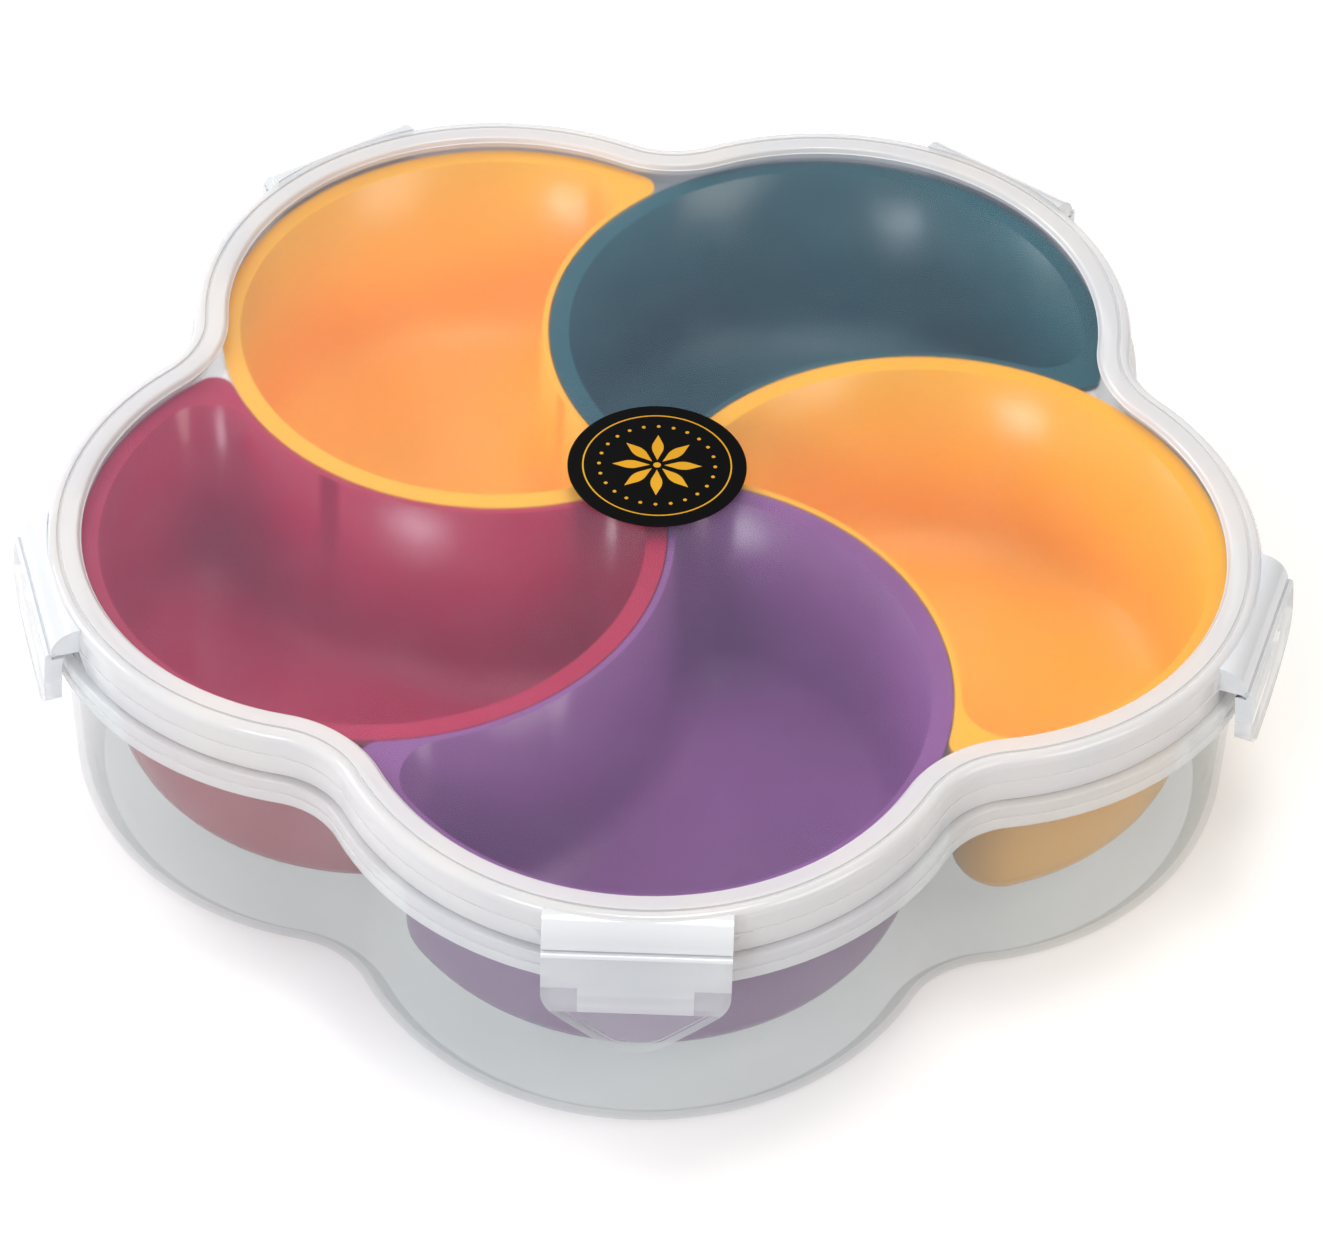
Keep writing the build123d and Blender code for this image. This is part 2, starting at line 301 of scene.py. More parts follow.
def flower_ring(name, section, rounds, open_inside):
    """Carries a section, corners of (lobe radius, height), round the flower's lobes and notches.

    The rounds say which of its corners get which radius. With open_inside, the section's last
    side is left out and the two rims are filled flat.
    """
    hub = around(front_angle, lobe_distance)
    start = front_angle - lobe_half
    place = {corner: hub + around(start, *corner) for corner in section}
    piece = draw_face(name, [place[corner] for corner in section])
    for corner, size in rounds:
        round_corner(piece, place[corner], size)
    bpy.ops.mesh.select_all(action="SELECT")
    bpy.ops.mesh.delete(type="ONLY_FACE")
    if open_inside:
        ends = (place[section[0]], place[section[-1]])
        pick(piece, lambda spot: min((spot - end).length for end in ends) < NEAR)
        bpy.ops.mesh.delete(type="EDGE_FACE")
    bpy.ops.mesh.select_all(action="SELECT")
    for number in range(lobes):
        angle = front_angle + number * pitch
        turn_about(around(angle, lobe_distance), 2 * lobe_half, lobe_steps)
        turn_about(around(angle + pitch / 2, notch_distance), -2 * notch_half, notch_steps)
    bpy.ops.mesh.select_all(action="SELECT")
    bpy.ops.mesh.remove_doubles(threshold=TOUCH)
    if open_inside:
        bpy.ops.mesh.select_all(action="SELECT")
        bpy.ops.mesh.fill_holes(sides=0)
    return close_up(piece)


def combine(piece, other, operation):
    """Joins a piece with another closed shape, or cuts it by that shape, which is used up."""
    modifier = piece.modifiers.new(operation, "BOOLEAN")
    modifier.operation = operation
    modifier.solver = "EXACT"
    modifier.object = other
    select_only(piece)
    bpy.ops.object.modifier_apply(modifier=modifier.name)
    bpy.data.objects.remove(other)


def prism(name, corners, rounds, depth):
    """A closed solid: a drawn outline with rounded corners, pushed through a depth."""
    piece = draw_face(name, corners)
    for corner, size in rounds:
        round_corner(piece, corner, size, segments=8)
    bpy.ops.mesh.select_all(action="SELECT")
    extrude(depth * MM)
    return close_up(piece)


def soften(piece, width, segments=2, angle=35):
    """Rounds the sharp edges of a finished solid, as a mould leaves them."""
    bevel = piece.modifiers.new("soften", "BEVEL")
    bevel.width = width * MM
    bevel.segments = segments
    bevel.limit_method = "ANGLE"
    bevel.angle_limit = radians(angle)
    bevel.harden_normals = True
    bevel.miter_outer = "MITER_ARC"
    select_only(piece)
    bpy.ops.object.modifier_apply(modifier=bevel.name)


def turned_copy(piece, name, angle):
    """A copy with its own mesh, turned about the box's middle."""
    select_only(piece)
    bpy.ops.object.duplicate()
    copy = bpy.context.object
    copy.name = copy.data.name = name
    copy.rotation_euler.z = angle
    bpy.ops.object.transform_apply(rotation=True)
    return copy


def make_tub():
    """Floor, wall with a rounded foot, inner ledge for the trays and the turned-down flange."""
    floor_inside = tub_inside - 2 * tub_edge_round
    ledge_top = tray_flange_underside - seat_gap
    ledge_underside = ledge_top - ledge_thickness
    section = [
        (floor_inside, 0),
        (tub_radius, 0),
        (tub_radius, shelf_underside),
        (flange_inside, shelf_underside),
        (flange_inside, flange_bottom),
        (flange_radius, flange_bottom),
        (flange_radius, flange_step_height),
        (flange_radius - flange_step, flange_step_height),
        (flange_radius - flange_step, shelf_top),
        (tub_radius, shelf_top),
        (tub_radius, tub_height),
        (tub_inside, tub_height),
        (tub_inside, ledge_top),
        (ledge_radius, ledge_top),
        (ledge_radius, ledge_underside),
        (tub_inside, ledge_underside),
        (tub_inside, tub_floor),
        (floor_inside, tub_floor),
    ]
    rounds = [
        ((tub_radius, 0), tub_edge_round),
        ((tub_inside, tub_floor), tub_edge_round - tub_wall),
        ((flange_inside, flange_bottom), flange_inside_round),
        ((flange_radius, flange_bottom), flange_round),
        ((flange_radius, flange_step_height), flange_step_round),
        ((flange_radius - flange_step, shelf_top), flange_round),
        ((tub_radius, tub_height), rim_round),
        ((tub_inside, tub_height), rim_round),
        ((ledge_radius, ledge_top), ledge_round),
        ((ledge_radius, ledge_underside), ledge_round),
    ]
    return flower_ring("frosted_tub", section, rounds, True)


def make_latch_root():
    """The wedge from the bead's edge to the crease at angle 0, its top curving to the fold."""
    root_back = lobe_distance + sqrt((skirt_outside - skirt_lean) ** 2 - half_width**2)
    root_top = bead_top - root_drop
    root_run = crease_distance - root_back
    root_fall = root_top - crease_height
    curve = (root_run**2 + root_fall**2) / (2 * root_fall)
    bend = 2 * atan2(root_fall, root_run)
    steps = 8
    underside = crease_height - root_edge
    arc = [
        Vector((root_back + curve * sin(bend * n / steps), -half_width,
                root_top - curve * (1 - cos(bend * n / steps))))
        for n in range(steps + 1)
    ]
    corners = arc + [
        Vector((crease_distance, -half_width, underside)),
        Vector((lobe_distance, -half_width, underside)),
        Vector((lobe_distance, -half_width, root_top)),
    ]
    root = prism("latch_root", corners, [], Vector((0, latch_width, 0)))
    bpy.ops.mesh.primitive_cylinder_add(
        vertices=192,
        radius=(skirt_outside - skirt_wall / 2) * MM,
        depth=2 * bead_top * MM,
        location=(lobe_distance * MM, 0, bead_top * MM),
    )
    combine(root, bpy.context.object, "DIFFERENCE")
    bpy.ops.mesh.primitive_cylinder_add(
        vertices=32,
        radius=(hinge_round + hinge_gap) * MM,
        depth=2 * latch_width * MM,
        location=(hinge_x * MM, 0, hinge_z * MM),
        rotation=(pi / 2, 0, 0),
    )
    combine(root, bpy.context.object, "DIFFERENCE")
    soften(root, width=0.25)
    return root


def make_lid():
    """Clear panel, raised bead with a fine groove, skirt, plug wall and the five latch roots."""
    panel_inside = panel_radius - 2 * panel_thickness
    section = [
        (panel_inside, panel_top),
        (panel_radius, panel_top),
        (panel_radius + bead_slope, bead_top),
        (groove_radius - groove_half, bead_top),
        (groove_radius - groove_half, bead_top - groove_depth),
        (groove_radius + groove_half, bead_top - groove_depth),
        (groove_radius + groove_half, bead_top),
        (skirt_outside - skirt_lean, bead_top),
        (skirt_outside, skirt_step_height),
        (skirt_outside + skirt_step, skirt_step_height),
        (skirt_outside + skirt_step, skirt_bottom),
        (skirt_inside, skirt_bottom),
        (skirt_inside, rim_gap_top),
        (plug_outside, rim_gap_top),
        (plug_outside, plug_bottom),
        (plug_inside, plug_bottom),
        (plug_inside, panel_underside),
        (panel_inside, panel_underside),
    ]
    rounds = [
        ((panel_radius, panel_top), panel_round),
        ((panel_radius + bead_slope, bead_top), bead_inside_round),
        ((groove_radius - groove_half, bead_top), groove_round),
        ((groove_radius + groove_half, bead_top), groove_round),
        ((skirt_outside - skirt_lean, bead_top), bead_outside_round),
        ((skirt_outside + skirt_step, skirt_step_height), skirt_step_round),
        ((skirt_outside + skirt_step, skirt_bottom), skirt_outside_round),
        ((skirt_inside, skirt_bottom), skirt_inside_round),
        ((plug_outside, plug_bottom), plug_round),
        ((plug_inside, plug_bottom), plug_round),
    ]
    lid = flower_ring("clear_lid", section, rounds, True)
    root = make_latch_root()
    for number in range(lobes):
        copy = turned_copy(root, f"root_{number}", front_angle + number * pitch)
        combine(lid, copy, "UNION")
    bpy.data.objects.remove(root)
    return lid


def make_seal():
    """Soft ring in the lid's channel, over the tub's rim."""
    inside = plug_outside + seal_gap
    outside = skirt_inside - seal_gap
    bottom = rim_gap_top - seal_height
    section = [(inside, rim_gap_top), (inside, bottom), (outside, bottom), (outside, rim_gap_top)]
    rounds = [(corner, seal_round) for corner in section[1:3]]
    return flower_ring("silicone_seal", section, rounds, False)


# A tray's outlines: an arc about the tray's hub, one about the hub of the circle that bites it,
# and a round at each tip
tray_hub = Vector((tray_distance, 0, 0))
bite_hub = around(-pitch, tray_distance)
hub_gap = (tray_hub - bite_hub).length
hub_heading = atan2((tray_hub - bite_hub).y, (tray_hub - bite_hub).x)


def crescent(name, convex, concave, tip, height, drop):
    """A closed block with a crescent outline that reaches down from a height, its foot selected."""
    side = convex - tip
    far = concave + tip
    at_tray = acos((side**2 + hub_gap**2 - far**2) / (2 * side * hub_gap))
    at_bite = acos((far**2 + hub_gap**2 - side**2) / (2 * far * hub_gap))
    lift = UP * height
    tips = [tray_hub + around(hub_heading + pi + turn, side) for turn in (-at_tray, at_tray)]
    block = new_piece(name, tray_hub + around(hub_heading + pi + at_tray, convex) + lift)
    turn_about(tray_hub + lift, 2 * (pi - at_tray), tray_steps)
    turn_about(tips[0] + lift, at_tray + at_bite, tip_steps)
    turn_about(bite_hub + lift, -2 * at_bite, bite_steps)
    turn_about(tips[1] + lift, at_tray + at_bite, tip_steps)
    bpy.ops.mesh.select_all(action="SELECT")
    bpy.ops.mesh.remove_doubles(threshold=TOUCH)
    bpy.ops.mesh.edge_face_add()
    extrude((0, 0, -drop * MM))
    bpy.ops.mesh.select_all(action="SELECT")
    bpy.ops.mesh.normals_make_consistent(inside=False)
    pick(block, lambda place: abs(place.z - height + drop) < NEAR)
    return block


def sink_bowl(height, bottom, bottom_round):
    """Draws the selected foot in and down to a bowl's floor, by its draft and its bottom round."""
    straight = height - bottom - bottom_round * (1 - sin(tray_draft))
    bpy.ops.mesh.inset(thickness=straight * tan(tray_draft) * MM, depth=straight * MM)
    steps = 8
    turns = [tray_draft + (pi / 2 - tray_draft) * n / steps for n in range(steps + 1)]
    for turn, next_turn in zip(turns, turns[1:]):
        bpy.ops.mesh.inset(
            thickness=bottom_round * (cos(turn) - cos(next_turn)) * MM,
            depth=bottom_round * (sin(next_turn) - sin(turn)) * MM,
        )


def make_tray():
    """One tray at angle 0: bowl, turned-out flange, lip under the next tray and gate mark."""
    thickness = tray_flange_thickness
    tray = crescent("tray", tray_radius, bite_radius, tray_tip_round, tray_top, thickness)
    close_up(tray)
    overlap = thickness / 2
    bowl = crescent(
        "bowl",
        tray_wall_radius,
        bite_radius + tray_recess,
        tray_corner_round,
        tray_flange_underside + overlap,
        overlap,
    )
    sink_bowl(tray_flange_underside, tray_underside, tray_bottom_round)
    close_up(bowl)
    combine(tray, bowl, "UNION")
    lip_out = bite_radius + tray_wall / 2
    lip = draw_face(
        "lip",
        [
            bite_hub + around(hub_heading - lip_half, distance, height)
            for distance, height in (
                (lip_radius, lip_top),
                (lip_out, lip_top),
                (lip_out, lip_underside),
                (lip_radius, lip_underside),
            )
        ],
    )
    turn_about(bite_hub, 2 * lip_half, 32)
    close_up(lip)
    combine(tray, lip, "UNION")
    hollow = crescent(
        "hollow",
        tray_wall_radius - tray_wall,
        bite_radius + tray_wall,
        tray_corner_round - tray_wall,
        tray_top + overlap,
        overlap,
    )
    sink_bowl(tray_top, tray_underside + tray_floor, tray_bottom_round - tray_wall)
    close_up(hollow)
    combine(tray, hollow, "DIFFERENCE")
    mark = bite_hub + around(hub_heading, gate_distance, tray_underside + tray_floor)
    bpy.ops.mesh.primitive_cylinder_add(
        vertices=32, radius=gate_radius * MM, depth=2 * gate_depth * MM, location=mark * MM
    )
    combine(tray, bpy.context.object, "DIFFERENCE")
    soften(tray, width=0.4, segments=3)
    return tray


def shield_corners(distance):
    """The flap's outline seen from outside, drawn past its top, where it is cut later."""
    above = hinge_z + 2 * hinge_round
    corners = [
        (-half_width, above),
        (-half_width, shoulder_height),
        (0, plate_tip),
        (half_width, shoulder_height),
        (half_width, above),
    ]
    return [Vector((distance, across, height)) for across, height in corners]


def draw_shield(name, distance):
    """The flap's outline as a flat face, with its shoulders and its tip rounded."""
    corners = shield_corners(distance)
    shield = draw_face(name, corners)
    slope = atan2(half_width, shoulder_height - plate_tip)
    round_corner(shield, corners[1], shoulder_round, segments=8, turn=slope)
    round_corner(shield, corners[2], tip_round, segments=14, turn=pi - 2 * slope)
    round_corner(shield, corners[3], shoulder_round, segments=8, turn=slope)
    return shield


def flap_bulge(height):
    """How far the flap's bulging face stands out from a flat one at a height."""
    drop = hinge_z - height
    tip = hinge_z - plate_tip
    middle = hinge_z - bulge_height
    lean = latch_tip_lean / tip
    rest = (latch_bulge - lean * middle) / (middle * (tip - middle))
    return lean * drop + rest * drop * (tip - drop)


def make_flap():
    """A latch flap: a bulging shield with a rim, turned-in sides, a catch ridge and a round top."""
    # The plate, hollow behind but for a thin rim
    face = hinge_x + hinge_round
    flap = draw_shield("flap", face)
    back = face - latch_wall - rim_depth
    bpy.ops.mesh.select_all(action="SELECT")
    extrude(((back - face) * MM, 0, 0))
    pick(flap, lambda place: abs(place.x - back) < NEAR)
    bpy.ops.mesh.inset(thickness=rim_width * MM)
    extrude((rim_depth * MM, 0, 0))
    close_up(flap)
    # The sides, turned in
    cutter = 20
    sides = draw_shield("sides", face - latch_wall / 2)
    bpy.ops.mesh.select_all(action="SELECT")
    extrude((-(latch_wall / 2 + return_depth) * MM, 0, 0))
    close_up(sides)
    bpy.ops.mesh.primitive_cube_add(
        size=1,
        location=(face * MM, 0, plate_tip * MM),
        scale=(cutter * MM, (latch_width - 2 * latch_wall) * MM, 2 * crease_height * MM),
    )
    combine(sides, bpy.context.object, "DIFFERENCE")
    combine(flap, sides, "UNION")
    # The top, cut off at the hinge's middle and behind it, and made round
    for near, low in (
        (face + cutter / 2, hinge_z),
        (face - latch_wall, hinge_z - hinge_round - seat_gap),
    ):
        bpy.ops.mesh.primitive_cube_add(
            size=1,
            location=((near - cutter / 2) * MM, 0, (low + cutter / 2) * MM),
            scale=(cutter * MM, 2 * latch_width * MM, cutter * MM),
        )
        combine(flap, bpy.context.object, "DIFFERENCE")
    bpy.ops.mesh.primitive_cylinder_add(
        vertices=32,
        radius=hinge_round * MM,
        depth=latch_width * MM,
        location=(hinge_x * MM, 0, hinge_z * MM),
        rotation=(pi / 2, 0, 0),
    )
    combine(flap, bpy.context.object, "UNION")
    # The ridge that catches under the tub's flange
    flange_edge = lobe_distance + sqrt(flange_radius**2 - (ridge_width / 2) ** 2)
    ridge_edge_at = flange_edge - ridge_bite - flap_bulge(ridge_top)
    inside = face - latch_wall / 2
    side = -ridge_width / 2
    ridge = prism(
        "ridge",
        [
            Vector((inside, side, ridge_top)),
            Vector((ridge_edge_at, side, ridge_top)),
            Vector((ridge_edge_at, side, ridge_top - ridge_edge)),
            Vector((inside, side, ridge_bottom)),
        ],
        [],
        Vector((0, ridge_width, 0)),
    )
    combine(flap, ridge, "UNION")
    # The bulge: rows are cut across the flap, and all that is at a height moves out together
    bpy.ops.object.mode_set(mode="EDIT")
    rows = 16
    row_reach = 0.0006
    cuts = [hinge_z - (hinge_z - plate_tip) * row / rows for row in range(1, rows)]
    for height in cuts + [ridge_bottom]:
        bpy.ops.mesh.select_all(action="SELECT")
        bpy.ops.mesh.bisect(plane_co=(0, 0, height * MM), plane_no=UP)
    bpy.ops.object.mode_set(mode="OBJECT")
    heights = sorted({round(vertex.co.z / MM, 3) for vertex in flap.data.vertices})
    bpy.ops.object.mode_set(mode="EDIT")
    for height in heights:
        if height < hinge_z:
            pick(flap, lambda place: abs(place.z - height) < row_reach)
            bpy.ops.transform.translate(value=(flap_bulge(height) * MM, 0, 0))
    close_up(flap)
    soften(flap, width=0.3)
    # A line on each side of the ridge, where the plastic gets thinner
    bpy.ops.object.mode_set(mode="EDIT")
    for side in (-ridge_width / 2 - seat_gap, ridge_width / 2 + seat_gap):
        bpy.ops.mesh.select_all(action="SELECT")
        bpy.ops.mesh.bisect(plane_co=(0, side * MM, 0), plane_no=(0, 1, 0))
    bpy.ops.object.mode_set(mode="OBJECT")
    return flap


def make_film():
    """The thin fold between a latch root and its flap: a soft strip with a rounded top."""
    inside = hinge_x - hinge_round - hinge_gap - film_bite
    outside = hinge_x - hinge_round + film_reach
    top = hinge_z + hinge_round - film_drop
    corners = [
        Vector((inside, -half_width, top)),
        Vector((outside, -half_width, top)),
        Vector((outside, -half_width, top - film_height)),
        Vector((inside, -half_width, top - film_height)),
    ]
    rounds = [(corner, film_round) for corner in corners[:2]]
    film = prism("film", corners, rounds, Vector((0, latch_width, 0)))
    bpy.ops.object.mode_set(mode="EDIT")
    for cut in film_cuts:
        bpy.ops.mesh.select_all(action="SELECT")
        bpy.ops.mesh.bisect(
            plane_co=((inside + (outside - inside) * cut) * MM, 0, 0), plane_no=(1, 0, 0)
        )
    return close_up(film)


def make_label():
    """Thin round label with a softly rounded edge."""
    bpy.ops.mesh.primitive_cylinder_add(
        vertices=128,
        radius=label_radius * MM,
        depth=label_thickness * MM,
        location=(0, 0, (panel_top + label_thickness / 2) * MM),
    )
    label = bpy.context.object
    label.name = label.data.name = "round_label"
    bpy.ops.object.transform_apply(location=True)
    soften(label, width=0.1)
    return label


def spin_copies(count):
    """Repeats what is selected round the label's middle."""
    bpy.ops.mesh.spin(steps=count, angle=2 * pi, center=(0, 0, 0), axis=UP, dupli=True)


def make_ornament():
    """A gold star of eight seed pods inside a ring of dots and a fine line, raised as thick ink."""
    base = panel_top + label_thickness
    star = draw_face("star", [
        Vector((pod_start, 0, base)),
        Vector((pod_waist, -pod_half, base)),
        Vector((pod_reach, 0, base)),
        Vector((pod_waist, pod_half, base)),
    ])
    for side in (-pod_half, pod_half):
        corner = Vector((pod_waist, side, base))
        round_corner(star, corner, pod_curve, segments=8, turn=pod_turn)
    bpy.ops.mesh.select_all(action="SELECT")
    extrude((0, 0, ink_thickness * MM))
    bpy.ops.mesh.select_all(action="SELECT")
    spin_copies(pods)
    bpy.ops.mesh.select_all(action="DESELECT")
    for distance, radius, count in ((0, middle_radius, 1), (dot_ring, dot_radius, dots)):
        bpy.ops.mesh.primitive_cylinder_add(
            vertices=20,
            radius=radius * MM,
            depth=ink_thickness * MM,
            location=(distance * MM, 0, (base + ink_thickness / 2) * MM),
        )
        if count > 1:
            spin_copies(count)
        bpy.ops.mesh.select_all(action="DESELECT")
    close_up(star)
    ring = draw_face("ring", [
        Vector((distance, 0, height))
        for distance, height in (
            (line_ring, base),
            (line_ring + line_width, base),
            (line_ring + line_width, base + ink_thickness),
            (line_ring, base + ink_thickness),
        )
    ])
    bpy.ops.mesh.select_all(action="SELECT")
    bpy.ops.mesh.delete(type="ONLY_FACE")
    bpy.ops.mesh.select_all(action="SELECT")
    turn_about(Vector((0, 0, 0)), 2 * pi, 128)
    close_up(ring)
    select_only(star)
    ring.select_set(True)
    bpy.ops.object.join()
    return star


def linear(colour):
    """An sRGB hex colour as Blender's linear numbers."""
    parts = [int(colour[n:n + 2], 16) / 255 for n in (0, 2, 4)]
    return (*[p / 12.92 if p <= 0.04045 else ((p + 0.055) / 1.055) ** 2.4 for p in parts], 1)


def add(owner, kind, links=(), **settings):
    """Adds a node to a material or the world.

    The settings give its properties or inputs, and the links say what feeds which input.
    """
    node = owner.node_tree.nodes.new("ShaderNode" + kind)
    for name, value in settings.items():
        title = name.replace("_", " ")
        if title in node.inputs:
            node.inputs[title].default_value = value
        else:
            setattr(node, name, value)
    for socket, source in links:
        owner.node_tree.links.new(source, node.inputs[socket])
    return node


# Every plastic's colour drifts and its gloss changes over these lengths, in mm. A wave of its
# skin is this many times as long as it is deep
drift_mm = 45
gloss_mm = 14
wave_flatness = 400


def moulded_plastic(name, colour, tone, roughness, texture_mm, depth_mm, waves_mm=0, **settings):
    """A moulded plastic.

    Its colour drifts between two tones over centimetres, its gloss is uneven, and its skin has
    the mould's fine texture and, where waves_mm is given, the slow waves of sunk plastic. A real
    mould's texture is too fine to show, so it is mostly drawn a few mm wide.
    """
    material = bpy.data.materials.new(name)
    material.use_nodes = True
    shader = material.node_tree.nodes["Principled BSDF"]
    for title, value in settings.items():
        shader.inputs[title.replace("_", " ")].default_value = value
    place = add(material, "TexCoord").outputs["Object"]
    drift, gloss, grain = [
        add(material, "TexNoise", [("Vector", place)], Scale=1 / (size * MM), Detail=detail)
        for size, detail in ((drift_mm, 2.0), (gloss_mm, 4.0), (texture_mm, 3.0))
    ]
    tones = add(material, "ValToRGB", [("Fac", drift.outputs["Fac"])])
    for element, position, shade in zip(tones.color_ramp.elements, (0.35, 0.65), (colour, tone)):
        element.position = position
        element.color = linear(shade)
    rough = add(
        material,
        "MapRange",
        [("Value", gloss.outputs["Fac"])],
        From_Min=0.3,
        From_Max=0.7,
        To_Min=roughness[0],
        To_Max=roughness[1],
    )
    skin = add(material, "Bump", [("Height", grain.outputs["Fac"])], Distance=depth_mm * MM)
    if waves_mm:
        scale = 1 / (waves_mm * MM)
        waves = add(material, "TexNoise", [("Vector", place)], Scale=scale, Detail=0.0)
        links = [("Height", waves.outputs["Fac"]), ("Normal", skin.outputs["Normal"])]
        skin = add(material, "Bump", links, Distance=waves_mm / wave_flatness * MM)
    for title, source in (
        ("Base Color", tones.outputs["Color"]),
        ("Roughness", rough.outputs["Result"]),
        ("Normal", skin.outputs["Normal"]),
    ):
        material.node_tree.links.new(source, shader.inputs[title])
    return material


def frosted_polypropylene():
    """Injection-moulded polypropylene, 1.8 mm thick: a cool grey veil over what is behind it."""
    return moulded_plastic(
        "frosted_polypropylene",
        "B2C2C4",
        "C0CED0",
        roughness=(0.18, 0.28),
        texture_mm=2.5,
        depth_mm=0.001,
        waves_mm=30,
        Alpha=0.17,
        IOR=1.49,
    )


def let_light_through(material):
    """Thin plastic that the lamps light through, though the eye sees it blur what is behind."""
    shader = material.node_tree.nodes["Principled BSDF"]
    rays = add(material, "LightPath")
    links = [(0, rays.outputs["Is Shadow Ray"]), (1, rays.outputs["Is Diffuse Ray"])]
    either = add(material, "Math", links, operation="MAXIMUM")
    clear = add(material, "BsdfTransparent")
    links = [(0, either.outputs[0]), (1, shader.outputs[0]), (2, clear.outputs[0])]
    mix = add(material, "MixShader", links)
    output = material.node_tree.nodes["Material Output"]
    material.node_tree.links.new(mix.outputs[0], output.inputs["Surface"])


def clear_polypropylene():
    """Clarified polypropylene, matt inside: a window that softens the view, its reflections given a
    painted bluish tint.
    """
    material = moulded_plastic(
        "clear_polypropylene",
        "F8F9FF",
        "F5F7FF",
        roughness=(0.17, 0.22),
        texture_mm=3.0,
        depth_mm=0.002,
        waves_mm=40,
        Transmission_Weight=0.985,
        IOR=1.46,
        # The bluish specular tint is a painted reflection colour, standing in for bluish light round
        # the box
        Specular_Tint=linear("7090FF"),
    )
    let_light_through(material)
    return material


def milky_polypropylene(name, alpha, colour, tone):
    """Polypropylene of the rims and latches: a glossy white milk, denser where it is thicker."""
    return moulded_plastic(
        f"{name}_polypropylene",
        colour,
        tone,
        roughness=(0.12, 0.2),
        texture_mm=2.5,
        depth_mm=0.001,
        waves_mm=24,
        Alpha=alpha,
        IOR=1.49,
        Coat_Weight=0.5,
        Coat_Roughness=0.06,
    )


def glossy_polystyrene(name, colour, tone):
    """Dyed high-impact polystyrene: deep even colour and a glossy, slightly wavy skin."""
    return moulded_plastic(
        f"glossy_polystyrene_{name}",
        colour,
        tone,
        roughness=(0.14, 0.22),
        texture_mm=4.0,
        depth_mm=0.0006,
        waves_mm=26,
        IOR=1.5,
    )


def silicone_rubber():
    """Cast silicone: a dull, cloudy white."""
    return moulded_plastic(
        "silicone_rubber",
        "E4E4E2",
        "ECECEA",
        roughness=(0.4, 0.55),
        texture_mm=0.5,
        depth_mm=0.01,
        Alpha=0.5,
        IOR=1.41,
    )


def printed_film():
    """Laminated vinyl: black ink under a glossy clear film."""
    return moulded_plastic(
        "printed_vinyl_film",
        "020202",
        "040404",
        roughness=(0.1, 0.18),
        texture_mm=2.0,
        depth_mm=0.0005,
        Specular_IOR_Level=0.12,
    )


def gold_ink():
    """Bronze-powder ink: a warm yellow with a dull metallic sparkle."""
    return moulded_plastic(
        "bronze_powder_ink",
        "E2A312",
        "F2C02A",
        roughness=(0.3, 0.5),
        texture_mm=0.2,
        depth_mm=0.01,
        Metallic=0.35,
    )


def matt_paint():
    """The floor's matt white paint, which to the eye runs into the white background far off."""
    material = moulded_plastic(
        "matt_white_paint",
        "F2F2F2",
        "F4F4F4",
        roughness=(0.6, 0.7),
        texture_mm=2.0,
        depth_mm=0.01,
    )
    shader = material.node_tree.nodes["Principled BSDF"]
    rays = add(material, "LightPath")
    seen = rays.outputs["Is Camera Ray"]
    for other in ("Is Glossy Ray", "Is Transmission Ray"):
        links = [(0, seen), (1, rays.outputs[other])]
        seen = add(material, "Math", links, operation="MAXIMUM").outputs[0]
    place = add(material, "TexCoord").outputs["Object"]
    distance = add(material, "VectorMath", [(0, place)], operation="LENGTH")
    glow = add(
        material,
        "MapRange",
        [("Value", distance.outputs["Value"])],
        From_Min=glow_near,
        From_Max=glow_far,
        To_Min=floor_glow,
        To_Max=1.0,
    )
    links = [(0, seen), (1, glow.outputs["Result"])]
    strength = add(material, "Math", links, operation="MULTIPLY")
    white = add(material, "Emission", [("Strength", strength.outputs[0])])
    both = add(material, "AddShader", [(0, shader.outputs[0]), (1, white.outputs[0])])
    output = material.node_tree.nodes["Material Output"]
    material.node_tree.links.new(both.outputs[0], output.inputs["Surface"])
    return material


# The margin keeps a face that lies on a limit on its right side. A latch root's plastic starts a
# little inside the skirt, by the overlap. Both are in mm
margin = 0.1
root_overlap = 1.0
# By the X of its normal, a flap's face looks sideways below edge_on and outwards above face_on,
# and belongs to a rounded edge between them
edge_on = 0.25
face_on = 0.97


def in_latch_root(place):
    """Whether a place is on a latch root, near or past the skirt and no wider than a latch."""
    across = place.xy.length * sin(lobe_turn(place))
    outside = flower_reach(place) > skirt_outside - root_overlap
    return outside and abs(across) < half_width + margin


def flap_plastic(place, normal):
    """The plastic of a flap's face: folded at the edges, thin at the tip, sheer beside the ridge."""
    sideways = abs(normal.x) < edge_on
    if edge_on < normal.x < face_on or (sideways and place.z > sheer_top):
        return "folded"
    if sideways:
        return "waxy"
    if place.z < ridge_bottom:
        return "thin"
    if place.z < sheer_top and abs(place.y) > ridge_width / 2:
        return "sheer"
    if place.z < ridge_top and place.x < hinge_x - hinge_round - ridge_bite:
        return "folded"
    return "waxy"


def finish_piece(piece, name, node, body, material):
    """Names a piece, gives it its material and puts it in its node's place."""
    piece.name = piece.data.name = name
    if material:
        piece.data.materials.clear()
        piece.data.materials.append(material)
    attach(piece, body)
    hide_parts(node)


# The tub, its flange whiter than its wall
tub = make_tub()
finish_piece(tub, "frosted_tub", "tub", "tub", frosted_polypropylene())
tub.data.materials.append(milky_polypropylene("rolled", 0.5, "E8ECEF", "F0F1F2"))
for face in tub.data.polygons:
    face.material_index = int(flower_reach(face.center / MM) > tub_radius + margin)

